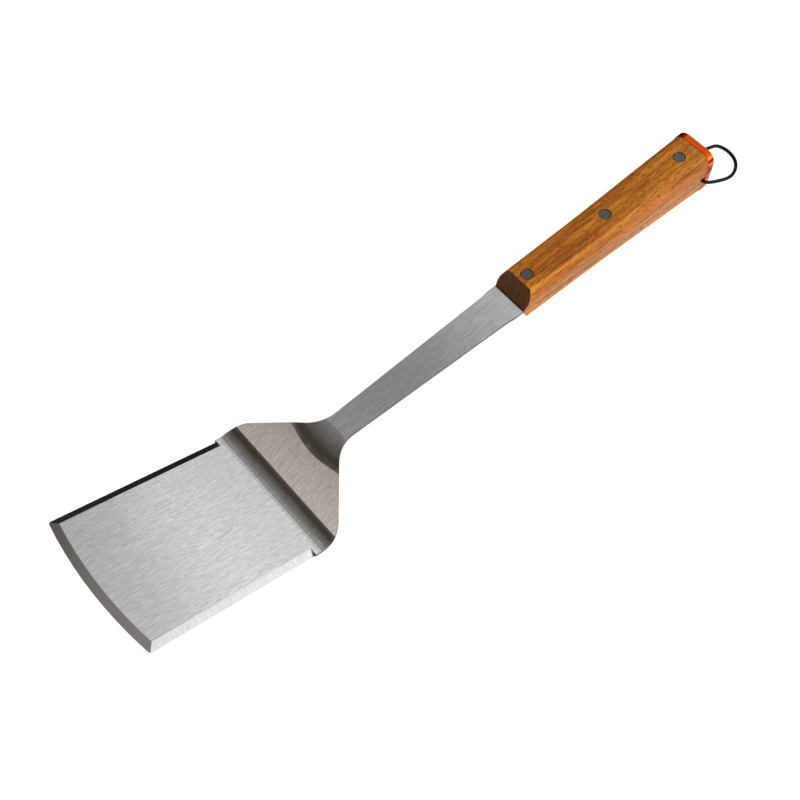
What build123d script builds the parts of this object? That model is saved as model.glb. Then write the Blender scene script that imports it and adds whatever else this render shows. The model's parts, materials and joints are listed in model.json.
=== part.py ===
from build123d import *
import math
import os

# Grill spatula: one stamped steel blade with a full tang, two riveted wooden scales,
# an anodised end cap and a hanging loop.
#
# Working frame while building ("tool" frame): +X runs from the blade to the butt, +Z is up,
# z = 0 is the top face of the tang and x = 0 is where the ground bevels of the blade end.
# Every node is moved once, at the end, so that the finished tool stands on z = 0 with the
# middle of its box at x = 0, y = 0.

# ---- driving dimensions, millimetres and degrees ----------------------------------------

SHEET = 2.0                  # thickness of the stamped steel

BLADE_WIDTH = 94.0
BLADE_LENGTH = 115.5         # from the bevel ends to the middle of the front edge
BLADE_TILT = 22.0            # blade face against the tang
FRONT_RADIUS = 249.0         # convex front edge
CORNER_RADIUS = 4.5          # outer front corners
BEVEL_WIDTH = 5.0
BEVEL_DEPTH = 2.25           # drop over that width: more than the sheet, so the edges are sharp
BEVEL_REACH = 1.4            # the grinder's flat runs past the edge by this ratio

HEEL_START = 1.8             # flat left between the bevel ends and the heel bend
HEEL_ENTRY_RADIUS = 9.0      # the heel bend starts tighter than it goes on
HEEL_ENTRY_ANGLE = 15.0
HEEL_RADIUS = 19.0           # inside of the rest of the bend between blade and riser
RISER_ANGLE = 48.0           # riser against the blade
RISER_LENGTH = 32.5          # from the heel bend to where the riser's and the neck's faces meet
NECK_RADIUS_MIDDLE = 45.0    # bend between riser and neck, on the top face: its edge bows
NECK_RADIUS_EDGE = 25.0      # towards the blade, so it is wider in the middle
NECK_BOW_HALF = 32.0         # distance from the middle to where the bow ends

SHOULDER_END = 16.0          # plan corner where the full width starts to taper
SHOULDER_RADIUS = 18.0
THROAT_START = 49.5          # plan corner where the taper meets the neck
THROAT_RADIUS = 22.0
NECK_HALF_FRONT = 8.3
NECK_HALF_REAR = 11.8
NECK_STEP_START = 179.5      # small shoulder just ahead of the handle
NECK_STEP_LENGTH = 4.0
NECK_STEP_RADIUS = 3.0
NECK_OVERLAP = 3.0           # the neck's outline starts this far inside the blade's

HANDLE_START = 191.0         # front of the wood at the tang
HANDLE_LENGTH = 160.0
HALF_WIDTH_FRONT = 12.45      # handle half width at the tang
HALF_WIDTH_REAR = 15.2
TOP_HALF_FRONT = 9.0         # half width of the flat top, up to the ridge
TOP_HALF_REAR = 14.2         # at the butt the ridge is rounded off by RIDGE_RADIUS_REAR
RIDGE_RADIUS_FRONT = 0.8
RIDGE_RADIUS_REAR = 7.5      # of both scales
SIDE_BULGE_FRONT = 2.0       # how far a scale's side stands out from its chord
SIDE_BULGE_REAR = 0.3
SCALE_HEIGHT_FRONT = 13.4
SCALE_HEIGHT_REAR = 17.0
FRONT_SLANT = 6.5            # the front end leans back by this much over its height
FAR_FACE_SANDED = 0.05       # taken off each scale's far face, which leaves it a true plane
UNDER_HEIGHT_FRONT = 12.6    # the lower scale is flatter and more rounded than the upper one
UNDER_HALF_FRONT = 8.9
UNDER_HALF_REAR = 14.5
UNDER_RADIUS_FRONT = 2.5

CAP_THICKNESS = 5.0
CAP_PROUD = 0.3              # the cap stands out this much all round
CAP_EDGE = 0.5

RIVET_FIRST = 12.5           # from the front of the wood to the first rivet
RIVET_PITCH = 67.0
RIVET_COUNT = 3
RIVET_HEAD_RADIUS = 3.9
RIVET_HEAD_HEIGHT = 1.4
RIVET_RECESS = 0.35          # head face below the wood
RIVET_TUBE_RADIUS = 2.4
RIVET_SHANK_RADIUS = 1.6
RIVET_HEAD_EDGE = 0.3
RIVET_TUBE_GAP = 1.0         # the tube stops short of the lower head
RIVET_PIN_GAP = 3.0          # the pin stops short of the upper head
COUNTERBORE_RADIUS = 4.1
TUBE_HOLE_RADIUS = 2.6
TANG_HOLE_RADIUS = 2.7

SCREW_OFFSET = 9.0           # cap screws above and below the tang
SCREW_RADIUS = 1.4
SCREW_LENGTH = 12.5
SCREW_HEAD_RADIUS = 2.9
SCREW_HEAD_HEIGHT = 1.8
SCREW_HEAD_RECESS = 0.2
SOCKET_RADIUS = 1.1
SOCKET_DEPTH = 1.1

LOOP_DIAMETER = 2.3
LOOP_SETBACK = 2.6           # loop axis ahead of the end of the wood
SLOT_RADIUS = 1.5
SLOT_WALL = 0.2              # the tang ends this far ahead of the slot
LOOP_DROOP = 19.6            # the loop hangs down behind the butt by this angle
SLEEVE_RADIUS = 1.45
SLEEVE_HALF_LENGTH = 11.0
SLEEVE_POCKET_RADIUS = 1.8
SLEEVE_POCKET_HALF_LENGTH = 11.5

# Hanging loop, in the plane that holds its hinge axis: (distance behind the axis, y).
LOOP_ROUTE = [
    (0.0, -9.4),
    (0.0, -18.0),
    (9.0, -20.6),
    (22.5, -22.8),
    (34.0, -19.6),
    (42.3, -14.0),
    (46.3, -7.4),
    (46.6, -1.0),
    (43.4, 4.3),
    (36.5, 4.8),
    (27.5, 5.4),
    (22.5, 14.5),
    (12.5, 20.6),
    (0.0, 18.0),
    (0.0, 9.4),
]

BOW_STEPS = 4                # sections on each side that carry the bow of the neck bend
MARGIN = 5.0                 # how far cutting shapes run past what they cut

# ---- derived values -----------------------------------------------------------------------

HALF_BLADE = BLADE_WIDTH / 2
HANDLE_END = HANDLE_START + HANDLE_LENGTH
LOOP_X = HANDLE_END - LOOP_SETBACK
TANG_END = LOOP_X - SLOT_RADIUS - SLOT_WALL
MID_Z = -SHEET / 2
TILT = math.radians(BLADE_TILT)
RISER = math.radians(RISER_ANGLE)

# The two bends in the blade's own frame: x along the blade towards the butt, z away from it.
HEEL_ENTRY = math.radians(HEEL_ENTRY_ANGLE)
ENTRY_END_X = HEEL_START + HEEL_ENTRY_RADIUS * math.sin(HEEL_ENTRY)
ENTRY_END_Z = HEEL_ENTRY_RADIUS * (1 - math.cos(HEEL_ENTRY))
HEEL_CENTRE_X = ENTRY_END_X - HEEL_RADIUS * math.sin(HEEL_ENTRY)
HEEL_CENTRE_Z = ENTRY_END_Z + HEEL_RADIUS * math.cos(HEEL_ENTRY)
CORNER_X = HEEL_CENTRE_X + HEEL_RADIUS * math.sin(RISER) + RISER_LENGTH * math.cos(RISER)
CORNER_Z = HEEL_CENTRE_Z - HEEL_RADIUS * math.cos(RISER) + RISER_LENGTH * math.sin(RISER)

# Depth below the tang of the blade's origin, and of the heel, which is the sheet's lowest line.
BLADE_DEPTH = CORNER_Z * math.cos(TILT) - CORNER_X * math.sin(TILT)
HEEL_DEPTH = (HEEL_RADIUS + SHEET + BLADE_DEPTH
              + HEEL_CENTRE_X * math.sin(TILT) - HEEL_CENTRE_Z * math.cos(TILT))
UNDER_HEIGHT_REAR = HEEL_DEPTH - SHEET - CAP_PROUD
SCREW_FACE = HANDLE_END + CAP_THICKNESS - SCREW_HEAD_RECESS


def upright(radius, height):
    """Cylinder standing on z = 0."""
    return Cylinder(radius, height, align=(Align.CENTER, Align.CENTER, Align.MIN))


def handle_ratio(x):
    """0 at the front of the handle, 1 at the butt."""
    return (x - HANDLE_START) / HANDLE_LENGTH


def between(front, rear, x):
    return front + (rear - front) * handle_ratio(x)


def upper_height(x):
    return between(SCALE_HEIGHT_FRONT, SCALE_HEIGHT_REAR, x)


def lower_height(x):
    return between(UNDER_HEIGHT_FRONT, UNDER_HEIGHT_REAR, x)


def half_width(x):
    return between(HALF_WIDTH_FRONT, HALF_WIDTH_REAR, x)


# ---- steel ----------------------------------------------------------------------------------

def to_tool(shape):
    """From the blade's own frame to the tool frame."""
    return Pos(0, 0, -BLADE_DEPTH) * Rot(0, BLADE_TILT, 0) * shape


def neck_radius(y):
    """Radius of the neck bend's top face at a distance y from the middle."""
    swell = (1 + math.cos(math.pi * min(abs(y) / NECK_BOW_HALF, 1))) / 2
    return NECK_RADIUS_EDGE + (NECK_RADIUS_MIDDLE - NECK_RADIUS_EDGE) * swell


def sheet_profile(y):
    """The bent sheet's section at y, in the blade's own frame."""
    front = -BLADE_LENGTH - 2 * MARGIN
    neck_length = TANG_END + BLADE_LENGTH / 2
    radius = neck_radius(y)
    tangent = radius * math.tan((RISER - TILT) / 2)
    centre_x = CORNER_X - tangent * math.cos(RISER) + radius * math.sin(RISER)
    centre_z = CORNER_Z - tangent * math.sin(RISER) - radius * math.cos(RISER)

    def on_entry(angle, offset):
        reach = HEEL_ENTRY_RADIUS + offset
        return (HEEL_START + reach * math.sin(angle), HEEL_ENTRY_RADIUS - reach * math.cos(angle))

    def on_heel(angle, offset):
        reach = HEEL_RADIUS + offset
        return (HEEL_CENTRE_X + reach * math.sin(angle), HEEL_CENTRE_Z - reach * math.cos(angle))

    def on_neck(angle, offset):
        reach = radius - offset
        return (centre_x - reach * math.sin(angle), centre_z + reach * math.cos(angle))

    def at_butt(offset):
        start = on_neck(TILT, offset)
        return (start[0] + neck_length * math.cos(TILT), start[1] + neck_length * math.sin(TILT))

    def face_line(offset):
        """Entry, heel, riser, neck bend and neck of the sheet's face at this depth."""
        entry_end = on_entry(HEEL_ENTRY, offset)
        Line((front, -offset), on_entry(0, offset))
        ThreePointArc(on_entry(0, offset), on_entry(HEEL_ENTRY / 2, offset), entry_end)
        ThreePointArc(entry_end, on_heel((HEEL_ENTRY + RISER) / 2, offset), on_heel(RISER, offset))
        Line(on_heel(RISER, offset), on_neck(RISER, offset))
        ThreePointArc(on_neck(RISER, offset), on_neck((RISER + TILT) / 2, offset),
                      on_neck(TILT, offset))
        Line(on_neck(TILT, offset), at_butt(offset))

    plane = Plane(origin=(0, y, 0), x_dir=(1, 0, 0), z_dir=(0, -1, 0))
    with BuildSketch(plane) as profile:
        with BuildLine():
            face_line(0)
            face_line(SHEET)
            Line((front, 0), (front, -SHEET))
            Line(at_butt(0), at_butt(SHEET))
        make_face()
    return profile.sketch


def bent_sheet():
    """Full-width sheet with its two bends, in the blade's own frame."""
    inside = [NECK_BOW_HALF * step / BOW_STEPS for step in range(-BOW_STEPS, BOW_STEPS + 1)]
    edge = HALF_BLADE + MARGIN
    stations = [-edge] + inside + [edge]
    return loft([sheet_profile(y) for y in stations])


def blade_outline():
    """Convex front, parallel sides and rounded front corners, in the blade's own frame."""
    centre_x = FRONT_RADIUS - BLADE_LENGTH
    corner_x = centre_x - math.sqrt(FRONT_RADIUS ** 2 - HALF_BLADE ** 2)
    with BuildSketch() as outline:
        with BuildLine():
            Line((0, HALF_BLADE), (corner_x, HALF_BLADE))
            ThreePointArc((corner_x, HALF_BLADE), (-BLADE_LENGTH, 0), (corner_x, -HALF_BLADE))
            Line((corner_x, -HALF_BLADE), (0, -HALF_BLADE))
            Line((0, -HALF_BLADE), (0, HALF_BLADE))
        make_face()
        corners = outline.vertices().group_by(Axis.X)[0]
        fillet(corners, CORNER_RADIUS)
    return extrude(outline.sketch, amount=2 * MARGIN, both=True)


def neck_outline():
    """Shoulders, neck and tang seen from above, in the tool frame."""
    step_end = NECK_STEP_START + NECK_STEP_LENGTH
    with BuildSketch() as outline:
        with BuildLine():
            Polyline(
                (-NECK_OVERLAP, 0),
                (-NECK_OVERLAP, HALF_BLADE),
                (SHOULDER_END, HALF_BLADE),
                (THROAT_START, NECK_HALF_FRONT),
                (NECK_STEP_START, NECK_HALF_REAR),
                (step_end, HALF_WIDTH_FRONT),
                (HANDLE_START, HALF_WIDTH_FRONT),
                (TANG_END, half_width(TANG_END)),
                (TANG_END, 0),
                close=True,
            )
        make_face()
        rounded = (
            (SHOULDER_END, HALF_BLADE, SHOULDER_RADIUS),
            (THROAT_START, NECK_HALF_FRONT, THROAT_RADIUS),
            (NECK_STEP_START, NECK_HALF_REAR, NECK_STEP_RADIUS),
            (step_end, HALF_WIDTH_FRONT, NECK_STEP_RADIUS),
        )
        for x, y, radius in rounded:
            corner = outline.vertices().sort_by_distance((x, y))[0]
            fillet(corner, radius)
        mirror(about=Plane.XZ)
    return extrude(outline.sketch, amount=BLADE_WIDTH, both=True)


def bevel_cutters():
    """What the grinder takes off both sides and the front, in the blade's own frame."""
    reach = BEVEL_WIDTH * BEVEL_REACH
    low = -BEVEL_DEPTH * BEVEL_REACH
    inner = HALF_BLADE - BEVEL_WIDTH
    outer = inner + reach
    with BuildSketch(Plane.YZ) as side:
        with BuildLine():
            Polyline((inner, 0), (outer, low), (outer, SHEET), (inner, SHEET), close=True)
        make_face()
    left = extrude(side.sketch, amount=-BLADE_LENGTH - MARGIN)
    crease = FRONT_RADIUS - BEVEL_WIDTH
    rim = crease + reach
    with BuildSketch(Plane.XZ) as front:
        with BuildLine():
            Polyline((-crease, 0), (-rim, low), (-rim, SHEET), (-crease, SHEET), close=True)
        make_face()
    ring = revolve(front.sketch, Axis.Z, 360)
    ring = Pos(FRONT_RADIUS - BLADE_LENGTH, 0, 0) * ring
    front_zone = Pos(-BLADE_LENGTH, 0, 0) * Box(BLADE_LENGTH, 2 * BLADE_WIDTH, BLADE_WIDTH)
    return [left, mirror(left, about=Plane.XZ), ring & front_zone]


def rivet_positions():
    return [HANDLE_START + RIVET_FIRST + RIVET_PITCH * i for i in range(RIVET_COUNT)]


def blade_and_tang():
    sheet = bent_sheet()
    for cutter in bevel_cutters():
        sheet = sheet - cutter
    outline = to_tool(blade_outline()) + neck_outline()
    steel = to_tool(sheet) & outline
    for x in rivet_positions():
        steel = steel - Pos(x, 0, MID_Z) * Cylinder(TANG_HOLE_RADIUS, 2 * SHEET)
    return steel - sleeve_pocket()


# ---- loop slot --------------------------------------------------------------------------------

def cross_cylinder(radius, half_length):
    """Cylinder along Y about the loop's hinge axis."""
    return Pos(LOOP_X, 0, MID_Z) * Rot(90, 0, 0) * Cylinder(radius, 2 * half_length)


def sleeve_pocket():
    return cross_cylinder(SLEEVE_POCKET_RADIUS, SLEEVE_POCKET_HALF_LENGTH)


def loop_slot():
    """Round-fronted slot across the butt, open towards the cap."""
    slot = cross_cylinder(SLOT_RADIUS, HALF_WIDTH_REAR + MARGIN)
    length = LOOP_SETBACK + MARGIN
    opening = Pos(LOOP_X + length / 2, 0, MID_Z) * Box(length, BLADE_WIDTH, 2 * SLOT_RADIUS)
    return slot + opening + sleeve_pocket()


# ---- handle -----------------------------------------------------------------------------------

def side_middle(half_tang, half_far, height, bulge):
    """Middle of a scale's side, which stands out from its chord by the bulge."""
    taper = half_far - half_tang
    chord = math.hypot(taper, height)
    return ((half_tang + half_far) / 2 + bulge * height / chord,
            height / 2 - bulge * taper / chord)


def scale_section(x, half_tang, half_far, height, bulge, ridge_radius):
    """One scale's section above the tang: flat far face, rounded ridges, bulging sides."""
    mid_y, mid_z = side_middle(half_tang, half_far, height, bulge)
    plane = Plane(origin=(x, 0, 0), x_dir=(0, 1, 0), z_dir=(1, 0, 0))
    with BuildSketch(plane) as section:
        with BuildLine():
            ThreePointArc((half_tang, 0), (mid_y, mid_z), (half_far, height))
            Line((half_far, height), (-half_far, height))
            ThreePointArc((-half_far, height), (-mid_y, mid_z), (-half_tang, 0))
            Line((-half_tang, 0), (half_tang, 0))
        make_face()
        ridges = section.vertices().group_by(Axis.Y)[-1]
        fillet(ridges, ridge_radius)
    return section.sketch


def side_cutter(*corners):
    """Prism across the handle through these corners, each (x, height above the tang)."""
    with BuildSketch(Plane.XZ) as outline:
        with BuildLine():
            Polyline(*corners, close=True)
        make_face()
    return extrude(outline.sketch, amount=HALF_BLADE, both=True)


def scale_blank(front, rear, height_at):
    """One scale before drilling, above the tang, with its front end leaning back."""
    top = SCALE_HEIGHT_REAR + MARGIN
    lean = FRONT_SLANT / SCALE_HEIGHT_FRONT * top
    before = HANDLE_START - MARGIN
    slant = side_cutter((before, 0), (HANDLE_START, 0), (HANDLE_START + lean, top), (before, top))
    front_height = height_at(HANDLE_START) - FAR_FACE_SANDED
    rear_height = height_at(HANDLE_END) - FAR_FACE_SANDED
    sanding = side_cutter((HANDLE_START, front_height), (HANDLE_END, rear_height),
                          (HANDLE_END, top), (HANDLE_START, top))
    return loft([front, rear], ruled=True) - slant - sanding


def mirrored_below(shape):
    """The same shape on the other side of the tang."""
    return mirror(shape, about=Plane.XY.offset(MID_Z))


def head_floor(height):
    """Height above the tang of the shoulder under a rivet head, where a scale is this high."""
    return height - RIVET_RECESS - RIVET_HEAD_HEIGHT


def drilled(scale, height_at):
    """A blank above the tang with its rivet holes, screw hole and half of the loop's slot."""
    for x in rivet_positions():
        counterbore = upright(COUNTERBORE_RADIUS, SCALE_HEIGHT_REAR)
        scale = scale - Pos(x, 0, 0) * Cylinder(TUBE_HOLE_RADIUS, BLADE_WIDTH)
        scale = scale - Pos(x, 0, head_floor(height_at(x))) * counterbore
    return scale - screw_pilot(SCREW_OFFSET) - loop_slot()


def upper_scale():
    front = scale_section(HANDLE_START, HALF_WIDTH_FRONT, TOP_HALF_FRONT, SCALE_HEIGHT_FRONT,
                          SIDE_BULGE_FRONT, RIDGE_RADIUS_FRONT)
    rear = scale_section(HANDLE_END, HALF_WIDTH_REAR, TOP_HALF_REAR, SCALE_HEIGHT_REAR,
                         SIDE_BULGE_REAR, RIDGE_RADIUS_REAR)
    return drilled(scale_blank(front, rear, upper_height), upper_height)


def lower_scale():
    front = scale_section(HANDLE_START, HALF_WIDTH_FRONT, UNDER_HALF_FRONT, UNDER_HEIGHT_FRONT,
                          SIDE_BULGE_FRONT, UNDER_RADIUS_FRONT)
    rear = scale_section(HANDLE_END, HALF_WIDTH_REAR, UNDER_HALF_REAR, UNDER_HEIGHT_REAR,
                         SIDE_BULGE_REAR, RIDGE_RADIUS_REAR)
    return mirrored_below(drilled(scale_blank(front, rear, lower_height), lower_height))


# ---- rivets -----------------------------------------------------------------------------------

def rivet_head():
    """Disc with a chamfered rim, standing on z = 0."""
    disc = upright(RIVET_HEAD_RADIUS, RIVET_HEAD_HEIGHT)
    return chamfer(disc.edges().group_by(Axis.Z)[-1], RIVET_HEAD_EDGE)


def rivet_tube(x):
    """Upper half: head and hollow shank that reaches down towards the lower head."""
    upper = head_floor(upper_height(x))
    length = upper + SHEET + head_floor(lower_height(x)) - RIVET_TUBE_GAP
    shank = upright(RIVET_TUBE_RADIUS, length) - upright(RIVET_SHANK_RADIUS, length)
    return Pos(x, 0, upper) * rivet_head() + Pos(x, 0, upper - length) * shank


def rivet_pin(x):
    """Lower half: head and solid shank driven up into the tube."""
    lower = head_floor(lower_height(x))
    length = head_floor(upper_height(x)) + SHEET + lower - RIVET_PIN_GAP
    head = mirrored_below(Pos(x, 0, lower) * rivet_head())
    return head + Pos(x, 0, -SHEET - lower) * upright(RIVET_SHANK_RADIUS, length)


# ---- end cap ------------------------------------------------------------------------------------

def along_x(shape, x, z):
    """A shape built on Z, turned to run along +X from x at height z."""
    return Pos(x, 0, z) * Rot(0, 90, 0) * shape


def screw_pilot(side):
    return along_x(upright(SCREW_RADIUS, SCREW_LENGTH), SCREW_FACE - SCREW_LENGTH, MID_Z + side)


def countersink():
    """Screw head's cone, hanging below z = 0."""
    return Cone(SCREW_RADIUS, SCREW_HEAD_RADIUS, SCREW_HEAD_HEIGHT,
                align=(Align.CENTER, Align.CENTER, Align.MAX))


def cap_screw(side):
    """Countersunk screw with a hexagon socket."""
    socket = extrude(RegularPolygon(SOCKET_RADIUS, 6), amount=-SOCKET_DEPTH)
    head = along_x(countersink() - socket, SCREW_FACE, MID_Z + side)
    shank = screw_pilot(side) - along_x(socket, SCREW_FACE, MID_Z + side)
    return shank + head


def cap_outline():
    """The butt's whole section, both scales and the tang between them, a little enlarged."""
    half = HALF_WIDTH_REAR + CAP_PROUD
    top_half = TOP_HALF_REAR + CAP_PROUD
    low_half = UNDER_HALF_REAR + CAP_PROUD
    top = SCALE_HEIGHT_REAR + CAP_PROUD
    depth = UNDER_HEIGHT_REAR + CAP_PROUD
    low = -SHEET - depth
    upper_y, upper_z = side_middle(half, top_half, top, SIDE_BULGE_REAR)
    lower_y, lower_z = side_middle(half, low_half, depth, SIDE_BULGE_REAR)
    lower_z = -SHEET - lower_z
    plane = Plane(origin=(HANDLE_END, 0, 0), x_dir=(0, 1, 0), z_dir=(1, 0, 0))
    with BuildSketch(plane) as section:
        with BuildLine():
            ThreePointArc((half, 0), (upper_y, upper_z), (top_half, top))
            Line((top_half, top), (-top_half, top))
            ThreePointArc((-top_half, top), (-upper_y, upper_z), (-half, 0))
            Line((-half, 0), (-half, -SHEET))
            ThreePointArc((-half, -SHEET), (-lower_y, lower_z), (-low_half, low))
            Line((-low_half, low), (low_half, low))
            ThreePointArc((low_half, low), (lower_y, lower_z), (half, -SHEET))
            Line((half, -SHEET), (half, 0))
        make_face()
        ridges = section.vertices().group_by(Axis.Y)
        fillet(ridges[0] + ridges[-1], RIDGE_RADIUS_REAR)
    return section.sketch


def end_cap():
    cap = extrude(cap_outline(), amount=CAP_THICKNESS)
    rear = cap.faces().sort_by(Axis.X)[-1]
    cap = chamfer(rear.outer_wire().edges(), CAP_EDGE)
    for side in (SCREW_OFFSET, -SCREW_OFFSET):
        seat = countersink() + upright(SCREW_HEAD_RADIUS, CAP_THICKNESS)
        cap = cap - along_x(seat, SCREW_FACE, MID_Z + side) - screw_pilot(side)
    return cap


# ---- hanging loop ---------------------------------------------------------------------------------

def corner_radii(points):
    """0.45 of the shorter run at each corner, over the tangent of half the turn."""
    radii = []
    for before, here, after in zip(points, points[1:], points[2:]):
        arriving = here - before
        leaving = after - here
        half_turn = math.radians(arriving.get_angle(leaving)) / 2
        radii.append(0.45 * min(arriving.length, leaving.length) / math.tan(half_turn))
    return radii


def loop_points():
    droop = math.radians(LOOP_DROOP)
    return [Vector(LOOP_X + u * math.cos(droop), v, MID_Z - u * math.sin(droop))
            for u, v in LOOP_ROUTE]


def hanging_loop():
    points = loop_points()
    radii = corner_radii(points)
    path = FilletPolyline(*points, radius=radii)
    start = Plane(origin=points[0], z_dir=points[1] - points[0])
    cord = sweep(start * Circle(LOOP_DIAMETER / 2), path=path)
    print("loop radii", [round(radius, 1) for radius in radii])
    print("loop length", round(path.length, 1))
    print("section times length", round(math.pi * LOOP_DIAMETER ** 2 / 4 * path.length, 1),
          "volume", round(cord.volume, 1))
    return cord


def loop_sleeve():
    """Crimp sleeve that joins the loop's two ends across the butt."""
    sleeve = cross_cylinder(SLEEVE_RADIUS, SLEEVE_HALF_LENGTH)
    end = LOOP_ROUTE[-1][1]
    depth = SLEEVE_HALF_LENGTH - end
    for side in (1, -1):
        socket = Rot(90, 0, 0) * Cylinder(LOOP_DIAMETER / 2, depth)
        sleeve = sleeve - Pos(LOOP_X, side * (end + depth / 2), MID_Z) * socket
    return sleeve


# ---- build and write ---------------------------------------------------------------------------------

def build_nodes():
    nodes = {
        "blade_and_tang": blade_and_tang(),
        "upper_scale": upper_scale(),
        "lower_scale": lower_scale(),
        "end_cap": end_cap(),
        "cap_screw_upper": cap_screw(SCREW_OFFSET),
        "cap_screw_lower": cap_screw(-SCREW_OFFSET),
        "hanging_loop": hanging_loop(),
        "loop_sleeve": loop_sleeve(),
    }
    for number, x in enumerate(rivet_positions(), start=1):
        nodes[f"rivet_tube_{number}"] = rivet_tube(x)
        nodes[f"rivet_pin_{number}"] = rivet_pin(x)
    return nodes


def middle_of_tool(nodes):
    """Middle along X of the rigid parts' box."""
    rigid = [shape for name, shape in nodes.items() if "loop" not in name]
    lowest = min(shape.bounding_box().min.X for shape in rigid)
    highest = max(shape.bounding_box().max.X for shape in rigid)
    return (lowest + highest) / 2


def main():
    nodes = build_nodes()
    middle_x = middle_of_tool(nodes)
    print("tool frame origin moved by", round(-middle_x, 3), 0, round(HEEL_DEPTH, 3))
    os.makedirs("parts", exist_ok=True)
    for name, shape in nodes.items():
        placed = Pos(-middle_x, 0, HEEL_DEPTH) * shape
        export_step(placed, f"parts/{name}.step")


main()
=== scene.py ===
import json
import math

import bpy
from mathutils import Matrix, Vector


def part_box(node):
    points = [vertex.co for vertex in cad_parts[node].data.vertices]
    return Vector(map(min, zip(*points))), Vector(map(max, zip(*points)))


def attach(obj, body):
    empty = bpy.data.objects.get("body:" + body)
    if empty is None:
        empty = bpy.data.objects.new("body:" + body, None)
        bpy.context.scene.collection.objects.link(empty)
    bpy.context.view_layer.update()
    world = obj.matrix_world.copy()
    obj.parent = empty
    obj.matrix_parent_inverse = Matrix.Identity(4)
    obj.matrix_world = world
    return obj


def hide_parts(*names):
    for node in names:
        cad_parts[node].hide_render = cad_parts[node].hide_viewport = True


# Looks for the grill spatula: camera, studio, materials and the hanging loop's lace.
# Everything is in metres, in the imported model's frame: +X runs from the blade to the butt.

MM = 0.001

CAMERA_AZIMUTH = -41.45
CAMERA_ELEVATION = 62.05
CAMERA_ROLL = 0.6
CAMERA_DISTANCE = 0.678
CAMERA_LENS = 52.5
CAMERA_TARGET = Vector((-0.03056, -0.0098, 0.0189))

# The lace's route in the plane that holds its hinge axis: (distance behind the axis, y), in mm.
LOOP_DROOP = 19.6
LOOP_DIAMETER = 2.3 * MM
LOOP_ROUTE = [
    (0.0, -9.4),
    (0.0, -14.4),
    (0.2, -18.0),
    (9.0, -20.6),
    (22.5, -22.8),
    (34.0, -19.6),
    (42.3, -14.0),
    (46.3, -7.4),
    (46.6, -1.0),
    (43.4, 4.3),
    (36.5, 4.8),
    (27.5, 5.4),
    (22.5, 14.5),
    (12.5, 20.6),
    (0.2, 18.0),
    (0.0, 14.4),
    (0.0, 9.4),
]

# The floor, and the soft light that only matt surfaces show.
FLOOR_HALF = 3.0
FLOOR_COLOUR = (0.55, 0.55, 0.55, 1)
FLOOR_GLOW = 0.8
KEY_PLACE = (0.35, -0.65, 1.2)
KEY_SIZE = (1.2, 0.8)
KEY_POWER = 4.9

# Surface textures. Noise scales are cells per metre along X, Y and Z, and colours are linear.
FACE_GRAIN = (150, 3600, 420)
FACE_CLOUDS = (55, 1500, 160)
GRAIN_SHARE = 0.7
BEVEL_GRAIN = (3600, 260, 260)
BEVEL_CONTRAST = 0.55
STEEL_COLOURS = [
    (0.32, (0.47, 0.47, 0.468)),
    (0.5, (0.65, 0.65, 0.648)),
    (0.68, (0.83, 0.83, 0.83)),
]
# Darker sheared edges; the darkness also paints in the dark reflection that the upright edges show.
SHEARED_AND_REFLECTION_COLOURS = [(0.3, (0.10, 0.085, 0.07)), (0.7, (0.20, 0.17, 0.15))]
GROUND_COLOUR = (0.97, 0.96, 0.95)
# Painted shade: the steel under the wood, whose edges show between the scales, is darkened towards this colour.
UNDER_WOOD_SHADE_COLOUR = (0.12, 0.115, 0.11)
# Painted contact shadow: a near-black line painted on the steel just in front of the wood.
CONTACT_SHADOW_COLOUR = (0.008, 0.007, 0.006)
STEEL_RELIEF = 0.012 * MM

WOOD_FLOW = (9, 110, 110)
WOOD_FIBRES = (60, 1500, 1500)
WOOD_BANDS = (7, 330, 330)
WOOD_PORES = (240, 2300, 2300)
END_RINGS = (300, 300, 1400)
FLOW_SHARE = 0.2
WOOD_COLOURS = [
    (0.37, (0.19, 0.048, 0.004)),
    (0.45, (0.39, 0.118, 0.008)),
    (0.54, (0.60, 0.205, 0.015)),
    (0.65, (0.80, 0.35, 0.046)),
]
PORE_COLOUR = (0.13, 0.032, 0.004)
END_COLOURS = [(0.3, (0.035, 0.012, 0.003)), (0.7, (0.125, 0.045, 0.012))]
WOOD_RELIEF = 0.03 * MM

RIVET_MARKS = (1500, 1500, 1500)
RIVET_COLOURS = [(0.34, (0.075, 0.074, 0.075)), (0.66, (0.20, 0.198, 0.20))]
RIVET_RELIEF = 0.02 * MM

CAP_MARKS = (2600, 120, 120)
CAP_COLOURS = [(0.3, (0.62, 0.05, 0.005)), (0.7, (0.94, 0.14, 0.012))]
CAP_RELIEF = 0.02 * MM

SCREW_MARKS = (900, 900, 900)
SCREW_COLOURS = [(0.3, (0.34, 0.34, 0.35)), (0.7, (0.52, 0.52, 0.53))]

LACE_PEBBLES = (2600, 2600, 2600)
LACE_CREASES = (500, 500, 500)
LACE_COLOURS = [(0.3, (0.001, 0.001, 0.001)), (0.7, (0.004, 0.004, 0.0045))]
PEBBLE_RELIEF = 0.05 * MM
CREASE_RELIEF = 0.12 * MM

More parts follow.
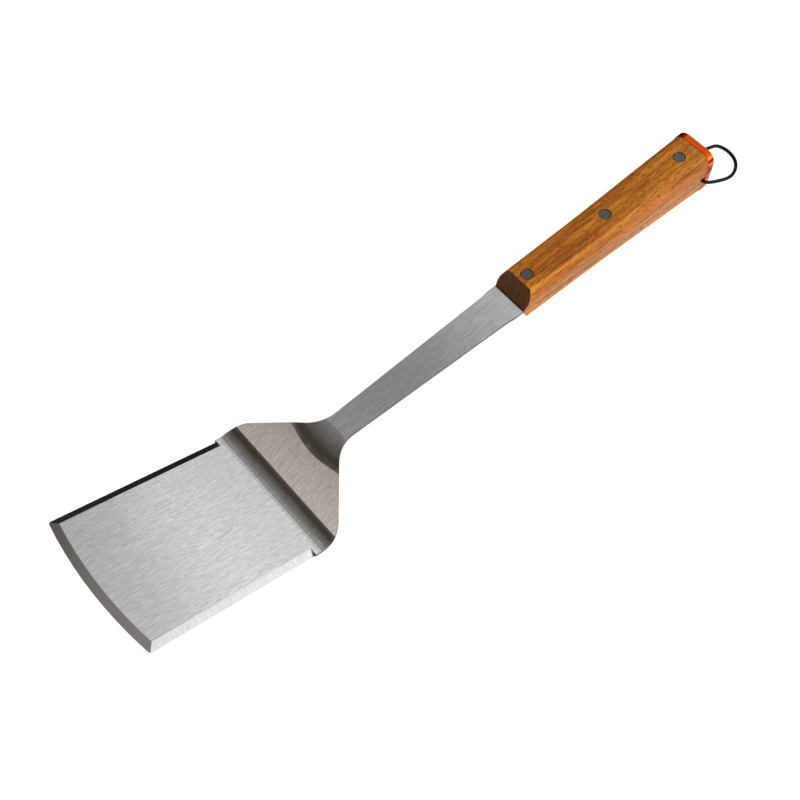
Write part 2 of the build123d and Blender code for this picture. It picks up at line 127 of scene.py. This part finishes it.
# Radiance of the studio by the angle from straight up towards the butt (degrees): (angle, colour).
# Past 90 degrees either way is what a polished face sees in place of the floor.
STUDIO_PEAK = 2.0
STUDIO_BANDS = [
    (-180, (0.60, 0.59, 0.58)),
    (-100, (0.66, 0.62, 0.57)),
    (-60, (0.84, 0.76, 0.69)),
    (-38.5, (0.84, 0.76, 0.69)),
    (-34.5, (0.06, 0.045, 0.03)),
    (-20, (0.07, 0.055, 0.045)),
    (-9, (0.16, 0.147, 0.13)),
    (4, (0.235, 0.22, 0.205)),
    (11, (0.27, 0.265, 0.26)),
    (16.5, (0.54, 0.54, 0.53)),
    (20, (0.25, 0.25, 0.25)),
    (23, (0.40, 0.40, 0.40)),
    (27, (0.80, 0.80, 0.81)),
    (44, (0.72, 0.725, 0.735)),
    (49, (0.72, 0.725, 0.735)),
    (51, (1.95, 1.96, 1.97)),
    (53, (0.72, 0.725, 0.735)),
    (58, (0.80, 0.805, 0.815)),
    (60, (1.6, 1.6, 1.6)),
    (68, (1.6, 1.6, 1.6)),
    (74, (0.015, 0.013, 0.012)),
    (100, (0.015, 0.013, 0.012)),
    (125, (0.55, 0.55, 0.55)),
    (180, (0.60, 0.59, 0.58)),
]
# How the radiance changes across the tool, from its right side (-Y) to its left: (y, factor).
# The peak is a strip light over the right side.
SIDE_PEAK = 3.4
SIDE_FACTORS = [
    (-1.0, 1.2),
    (-0.86, 1.6),
    (-0.76, 3.4),
    (-0.62, 3.4),
    (-0.5, 1.4),
    (-0.36, 1.3),
    (-0.1, 1.25),
    (0.2, 1.05),
    (0.48, 0.92),
    (0.57, 0.16),
    (1.0, 0.09),
]

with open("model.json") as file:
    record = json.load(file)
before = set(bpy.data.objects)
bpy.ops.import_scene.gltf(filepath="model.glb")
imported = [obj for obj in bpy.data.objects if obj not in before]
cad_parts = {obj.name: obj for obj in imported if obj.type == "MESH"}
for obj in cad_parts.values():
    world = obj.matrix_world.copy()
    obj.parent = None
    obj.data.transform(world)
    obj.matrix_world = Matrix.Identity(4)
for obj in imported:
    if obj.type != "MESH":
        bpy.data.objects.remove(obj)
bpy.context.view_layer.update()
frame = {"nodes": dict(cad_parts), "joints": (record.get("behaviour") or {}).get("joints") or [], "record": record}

BLADE_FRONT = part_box("blade_and_tang")[0][0]
HANDLE_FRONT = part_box("upper_scale")[0][0]


# ---- node helpers ---------------------------------------------------------------------------

def feed(tree, socket, value):
    """Links a socket to another one, or stores a plain value in it."""
    if isinstance(value, bpy.types.NodeSocket):
        tree.links.new(value, socket)
    else:
        socket.default_value = value


def combine(tree, operation, first, second=0.0, third=0.0):
    """A Math node's result."""
    node = tree.nodes.new("ShaderNodeMath")
    node.operation = operation
    for socket, value in zip(node.inputs, (first, second, third)):
        feed(tree, socket, value)
    return node.outputs[0]


def stretched(tree, vector, scale):
    """The vector with each of its axes scaled."""
    node = tree.nodes.new("ShaderNodeVectorMath")
    node.operation = "MULTIPLY"
    feed(tree, node.inputs[0], vector)
    node.inputs[1].default_value = scale
    return node.outputs[0]


def noise(tree, vector, detail=3.0, roughness=0.55, distortion=0.0):
    """Noise of about one cell per unit of the vector, around 0.5."""
    node = tree.nodes.new("ShaderNodeTexNoise")
    node.inputs["Scale"].default_value = 1.0
    node.inputs["Detail"].default_value = detail
    node.inputs["Roughness"].default_value = roughness
    node.inputs["Distortion"].default_value = distortion
    feed(tree, node.inputs["Vector"], vector)
    return node.outputs["Fac"]


def spread(tree, value, low, high, to_low=0.0, to_high=1.0):
    """Maps low..high smoothly to to_low..to_high, and holds outside."""
    node = tree.nodes.new("ShaderNodeMapRange")
    node.interpolation_type = "SMOOTHSTEP"
    for socket, amount in zip(node.inputs, (value, low, high, to_low, to_high)):
        feed(tree, socket, amount)
    return node.outputs[0]


def ramp(tree, factor, stops):
    """A colour ramp with these (place, colour) stops."""
    node = tree.nodes.new("ShaderNodeValToRGB")
    elements = node.color_ramp.elements
    while len(elements) < len(stops):
        elements.new(0.5)
    for element, (place, colour) in zip(elements, stops):
        element.position = place
        element.color = (*colour, 1.0)
    feed(tree, node.inputs["Fac"], factor)
    return node.outputs["Color"]


def blended(tree, factor, first, second, mode="MIX"):
    """Two colours mixed."""
    node = tree.nodes.new("ShaderNodeMix")
    node.data_type = "RGBA"
    node.blend_type = mode
    feed(tree, node.inputs["Factor"], factor)
    for socket, value in ((node.inputs["A"], first), (node.inputs["B"], second)):
        feed(tree, socket, (*value, 1.0) if isinstance(value, tuple) else value)
    return node.outputs["Result"]


def relief(tree, height, depth, normal=None):
    """A bump of this depth in metres."""
    node = tree.nodes.new("ShaderNodeBump")
    node.inputs["Distance"].default_value = depth
    feed(tree, node.inputs["Height"], height)
    if normal is not None:
        feed(tree, node.inputs["Normal"], normal)
    return node.outputs["Normal"]


def new_material(name):
    """A material with its node tree, its shader and the place on the object in metres."""
    material = bpy.data.materials.new(name)
    material.use_nodes = True
    tree = material.node_tree
    shader = tree.nodes["Principled BSDF"]
    position = tree.nodes.new("ShaderNodeTexCoord").outputs["Object"]
    return material, tree, shader, position


def split(tree, vector):
    """The vector's X, Y and Z."""
    node = tree.nodes.new("ShaderNodeSeparateXYZ")
    feed(tree, node.inputs[0], vector)
    return node.outputs


def surface_normal(tree):
    return tree.nodes.new("ShaderNodeNewGeometry").outputs["Normal"]


# ---- materials --------------------------------------------------------------------------------

def brushed_steel():
    """Grain along the tool, cross-ground bevels and darker sheared edges that also carry a painted dark
    reflection, a painted contact shadow where the wood meets the steel, and painted shade on the steel under the
    wood.
    """
    material, tree, shader, position = new_material("brushed_steel")
    x = split(tree, position)["X"]
    normal_x, normal_y, normal_z = split(tree, surface_normal(tree))
    side_tilt = combine(tree, "ABSOLUTE", normal_y)
    bevel = combine(tree, "MULTIPLY", spread(tree, side_tilt, 0.22, 0.26),
                    spread(tree, side_tilt, 0.55, 0.5))
    upright = spread(tree, combine(tree, "ABSOLUTE", normal_z), 0.45, 0.35)
    edge = combine(tree, "MULTIPLY", upright, spread(tree, x, HANDLE_FRONT, HANDLE_FRONT - 2 * MM))

    along = noise(tree, stretched(tree, position, FACE_GRAIN), 3.0, 0.62)
    broad = noise(tree, stretched(tree, position, FACE_CLOUDS), 3.0)
    across = noise(tree, stretched(tree, position, BEVEL_GRAIN), 3.0, 0.65)
    grain = combine(tree, "ADD", combine(tree, "MULTIPLY", along, GRAIN_SHARE),
                    combine(tree, "MULTIPLY", broad, 1 - GRAIN_SHARE))
    softened = combine(tree, "MULTIPLY_ADD", across, BEVEL_CONTRAST, (1 - BEVEL_CONTRAST) / 2)
    grain_or_cut = tree.nodes.new("ShaderNodeMix")
    feed(tree, grain_or_cut.inputs["Factor"], bevel)
    feed(tree, grain_or_cut.inputs["A"], grain)
    feed(tree, grain_or_cut.inputs["B"], softened)
    streaks = grain_or_cut.outputs["Result"]

    steel = ramp(tree, streaks, STEEL_COLOURS)
    # Darker sheared edge colour that also paints a dark reflection on the upright edges of the blade and neck.
    sheared_and_reflection = ramp(tree, broad, SHEARED_AND_REFLECTION_COLOURS)
    # Painted contact shadow: a near-black line on the steel where the wood's front face meets it.
    near_wood = spread(tree, x, HANDLE_FRONT - 1.3 * MM, HANDLE_FRONT - 0.5 * MM)
    contact_shadow = combine(tree, "MULTIPLY", near_wood, spread(tree, x, HANDLE_FRONT + 1 * MM, HANDLE_FRONT))
    # Painted shade: the steel darkens where it runs under the wood, between the scales.
    under_wood_shade = spread(tree, x, HANDLE_FRONT - 0.5 * MM, HANDLE_FRONT + 1 * MM, 0.0, 0.75)
    steel = blended(tree, under_wood_shade, steel, UNDER_WOOD_SHADE_COLOUR)
    near_front = spread(tree, x, BLADE_FRONT + 20 * MM, BLADE_FRONT + 15 * MM)
    front_bevel = combine(tree, "MULTIPLY", spread(tree, normal_x, 0.2, 0.1), near_front)
    steel = blended(tree, front_bevel, steel, GROUND_COLOUR)
    steel = blended(tree, edge, steel, sheared_and_reflection)
    feed(tree, shader.inputs["Base Color"], blended(tree, contact_shadow, steel, CONTACT_SHADOW_COLOUR))
    shader.inputs["Metallic"].default_value = 1.0
    feed(tree, shader.inputs["Roughness"], spread(tree, streaks, 0.25, 0.75, 0.27, 0.19))
    shader.inputs["Anisotropic"].default_value = 0.9
    tangent = tree.nodes.new("ShaderNodeCombineXYZ")
    feed(tree, tangent.inputs["X"], bevel)
    feed(tree, tangent.inputs["Y"], combine(tree, "SUBTRACT", 1.0, bevel))
    feed(tree, shader.inputs["Tangent"], tangent.outputs[0])
    feed(tree, shader.inputs["Normal"], relief(tree, streaks, STEEL_RELIEF))
    return material


def handle_wood():
    """Warm oiled wood with straight grain, and dark end grain at its front."""
    material, tree, shader, position = new_material("handle_wood")
    normal_x = split(tree, surface_normal(tree))["X"]
    end = spread(tree, combine(tree, "MULTIPLY", normal_x, -1.0), 0.6, 0.75)
    flow = noise(tree, stretched(tree, position, WOOD_FLOW), 2.0, 0.5)
    fibres = noise(tree, stretched(tree, position, WOOD_FIBRES), 4.0, 0.7)
    bands = noise(tree, stretched(tree, position, WOOD_BANDS), 3.0, 0.55, 0.4)
    pores = noise(tree, stretched(tree, position, WOOD_PORES), 2.0, 0.6)
    fine_share = (1 - FLOW_SHARE) / 2
    tone = combine(tree, "MULTIPLY", combine(tree, "ADD", fibres, bands), fine_share)
    tone = combine(tree, "ADD", tone, combine(tree, "MULTIPLY", flow, FLOW_SHARE))
    face = ramp(tree, tone, WOOD_COLOURS)
    dark_pores = spread(tree, pores, 0.48, 0.38, 0.0, 0.8)
    face = blended(tree, dark_pores, face, PORE_COLOUR)
    rings = noise(tree, stretched(tree, position, END_RINGS), 3.0, 0.6)
    end_grain = ramp(tree, rings, END_COLOURS)
    feed(tree, shader.inputs["Base Color"], blended(tree, end, face, end_grain))
    feed(tree, shader.inputs["Roughness"], spread(tree, fibres, 0.3, 0.7, 0.5, 0.38))
    shader.inputs["Specular IOR Level"].default_value = 0.2
    feed(tree, shader.inputs["Normal"], relief(tree, fibres, WOOD_RELIEF))
    return material


def rivet_metal():
    """Dark satin metal with fine even marks."""
    material, tree, shader, position = new_material("rivet_metal")
    marks = noise(tree, stretched(tree, position, RIVET_MARKS), 4.0, 0.6)
    feed(tree, shader.inputs["Base Color"], ramp(tree, marks, RIVET_COLOURS))
    shader.inputs["Metallic"].default_value = 1.0
    feed(tree, shader.inputs["Roughness"], spread(tree, marks, 0.3, 0.7, 0.3, 0.45))
    feed(tree, shader.inputs["Normal"], relief(tree, marks, RIVET_RELIEF))
    return material


def orange_anodised():
    """Bright anodised metal, brushed across its rim."""
    material, tree, shader, position = new_material("orange_anodised")
    turned = noise(tree, stretched(tree, position, CAP_MARKS), 3.0, 0.6)
    feed(tree, shader.inputs["Base Color"], ramp(tree, turned, CAP_COLOURS))
    shader.inputs["Metallic"].default_value = 1.0
    feed(tree, shader.inputs["Roughness"], spread(tree, turned, 0.3, 0.7, 0.24, 0.16))
    feed(tree, shader.inputs["Normal"], relief(tree, turned, CAP_RELIEF))
    return material


def screw_steel():
    """Plain satin steel."""
    material, tree, shader, position = new_material("screw_steel")
    marks = noise(tree, stretched(tree, position, SCREW_MARKS), 4.0, 0.6)
    feed(tree, shader.inputs["Base Color"], ramp(tree, marks, SCREW_COLOURS))
    shader.inputs["Metallic"].default_value = 1.0
    feed(tree, shader.inputs["Roughness"], spread(tree, marks, 0.3, 0.7, 0.25, 0.42))
    return material


def black_leather():
    """Waxed black lace: fine pebbled grain and a soft gloss."""
    material, tree, shader, position = new_material("black_leather")
    pebbles = noise(tree, stretched(tree, position, LACE_PEBBLES), 3.0, 0.6)
    creases = noise(tree, stretched(tree, position, LACE_CREASES), 2.0, 0.5)
    feed(tree, shader.inputs["Base Color"], ramp(tree, creases, LACE_COLOURS))
    feed(tree, shader.inputs["Roughness"], spread(tree, creases, 0.3, 0.7, 0.36, 0.55))
    shader.inputs["Specular IOR Level"].default_value = 0.2
    pebbled = relief(tree, pebbles, PEBBLE_RELIEF)
    feed(tree, shader.inputs["Normal"], relief(tree, creases, CREASE_RELIEF, pebbled))
    return material


def dress_nodes():
    """Each CAD node gets the material that its slot in the record names."""
    makers = {
        "brushed_steel": brushed_steel,
        "handle_wood": handle_wood,
        "rivet_metal": rivet_metal,
        "orange_anodised": orange_anodised,
        "screw_steel": screw_steel,
        "black_leather": black_leather,
    }
    materials = {name: make() for name, make in makers.items()}
    for part in frame["record"]["subparts"]:
        mesh = frame["nodes"][part["node"]].data
        mesh.materials.clear()
        mesh.materials.append(materials[part["material_slot"]])
    return materials


# ---- hanging loop -------------------------------------------------------------------------------

def lace_points():
    """The route's control points, turned down by the droop about the hinge."""
    hinge = Vector(frame["joints"][0]["pos_m"])
    droop = math.radians(LOOP_DROOP)
    behind = Vector((math.cos(droop), 0, -math.sin(droop)))
    return [hinge + behind * u * MM + Vector((0, v * MM, 0)) for u, v in LOOP_ROUTE]


def hanging_lace(material):
    """The loop as one smooth lace, from one end in the sleeve round to the other."""
    points = lace_points()
    curve = bpy.data.curves.new("hanging_lace", "CURVE")
    curve.dimensions = "3D"
    curve.bevel_depth = LOOP_DIAMETER / 2
    curve.bevel_resolution = 6
    curve.resolution_u = 16
    spline = curve.splines.new("NURBS")
    spline.points.add(len(points) - 1)
    for target, point in zip(spline.points, points):
        target.co = (*point, 1)
    spline.order_u = 3
    spline.use_endpoint_u = True
    curve.materials.append(material)
    lace = bpy.data.objects.new("hanging_lace", curve)
    bpy.context.scene.collection.objects.link(lace)
    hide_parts("hanging_loop")
    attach(lace, "loop")


# ---- camera, floor and light ----------------------------------------------------------------------

def make_camera():
    """Camera on a sphere about its target, turned about its own axis by the roll."""
    data = bpy.data.cameras.new("camera")
    data.lens = CAMERA_LENS
    data.sensor_width = 36
    data.clip_start = 0.01
    data.clip_end = 50
    camera = bpy.data.objects.new("camera", data)
    bpy.context.scene.collection.objects.link(camera)
    azimuth = math.radians(CAMERA_AZIMUTH)
    elevation = math.radians(CAMERA_ELEVATION)
    back = Vector((math.sin(azimuth) * math.cos(elevation),
                   -math.cos(azimuth) * math.cos(elevation),
                   math.sin(elevation)))
    camera.location = CAMERA_TARGET + back * CAMERA_DISTANCE
    turn = (-back).to_track_quat("-Z", "Y").to_matrix()
    roll = Matrix.Rotation(math.radians(CAMERA_ROLL), 3, "Z")
    camera.rotation_euler = (turn @ roll).to_euler()
    bpy.context.scene.camera = camera


def pale_floor():
    """A plain white floor that glows a little, so that it stays pale in every view."""
    mesh = bpy.data.meshes.new("floor")
    half = FLOOR_HALF
    corners = [(-half, -half, 0), (half, -half, 0), (half, half, 0), (-half, half, 0)]
    mesh.from_pydata(corners, [], [(0, 1, 2, 3)])
    floor = bpy.data.objects.new("floor", mesh)
    bpy.context.scene.collection.objects.link(floor)
    floor.visible_glossy = False
    material, _, shader, _ = new_material("floor")
    shader.inputs["Base Color"].default_value = FLOOR_COLOUR
    shader.inputs["Roughness"].default_value = 1.0
    shader.inputs["Specular IOR Level"].default_value = 0.0
    shader.inputs["Emission Color"].default_value = (1, 1, 1, 1)
    shader.inputs["Emission Strength"].default_value = FLOOR_GLOW
    mesh.materials.append(material)


def studio_world():
    """Soft studio seen by the object as bands across it, and as plain white by the camera."""
    world = bpy.data.worlds.new("world")
    bpy.context.scene.world = world
    world.use_nodes = True
    tree = world.node_tree
    direction = tree.nodes.new("ShaderNodeTexCoord").outputs["Generated"]
    x, y, z = split(tree, direction)
    angle = combine(tree, "ARCTAN2", x, z)
    along = combine(tree, "ADD", combine(tree, "DIVIDE", angle, 2 * math.pi), 0.5)
    bands = ramp(tree, along, [(place / 360 + 0.5, tuple(c / STUDIO_PEAK for c in colour))
                               for place, colour in STUDIO_BANDS])
    aside = combine(tree, "ADD", combine(tree, "MULTIPLY", y, 0.5), 0.5)
    sides = ramp(tree, aside, [(place / 2 + 0.5, (factor / SIDE_PEAK,) * 3)
                               for place, factor in SIDE_FACTORS])
    light = blended(tree, 1.0, bands, sides, "MULTIPLY")
    seen = tree.nodes.new("ShaderNodeLightPath").outputs["Is Camera Ray"]
    background = tree.nodes["Background"]
    feed(tree, background.inputs["Color"], blended(tree, seen, light, (1.0, 1.0, 1.0)))
    strength = combine(tree, "MULTIPLY_ADD", seen, 1 - STUDIO_PEAK * SIDE_PEAK,
                       STUDIO_PEAK * SIDE_PEAK)
    feed(tree, background.inputs["Strength"], strength)


def key_light():
    """Big soft light above the right side, kept out of reflections."""
    data = bpy.data.lights.new("key", "AREA")
    data.shape = "RECTANGLE"
    data.size, data.size_y = KEY_SIZE
    data.energy = KEY_POWER
    light = bpy.data.objects.new("key", data)
    light.location = KEY_PLACE
    light.rotation_euler = (-light.location).to_track_quat("-Z", "Y").to_euler()
    light.visible_glossy = False
    bpy.context.scene.collection.objects.link(light)


make_camera()
pale_floor()
studio_world()
key_light()
bpy.context.scene.view_settings.view_transform = "Standard"
materials = dress_nodes()
hanging_lace(materials["black_leather"])
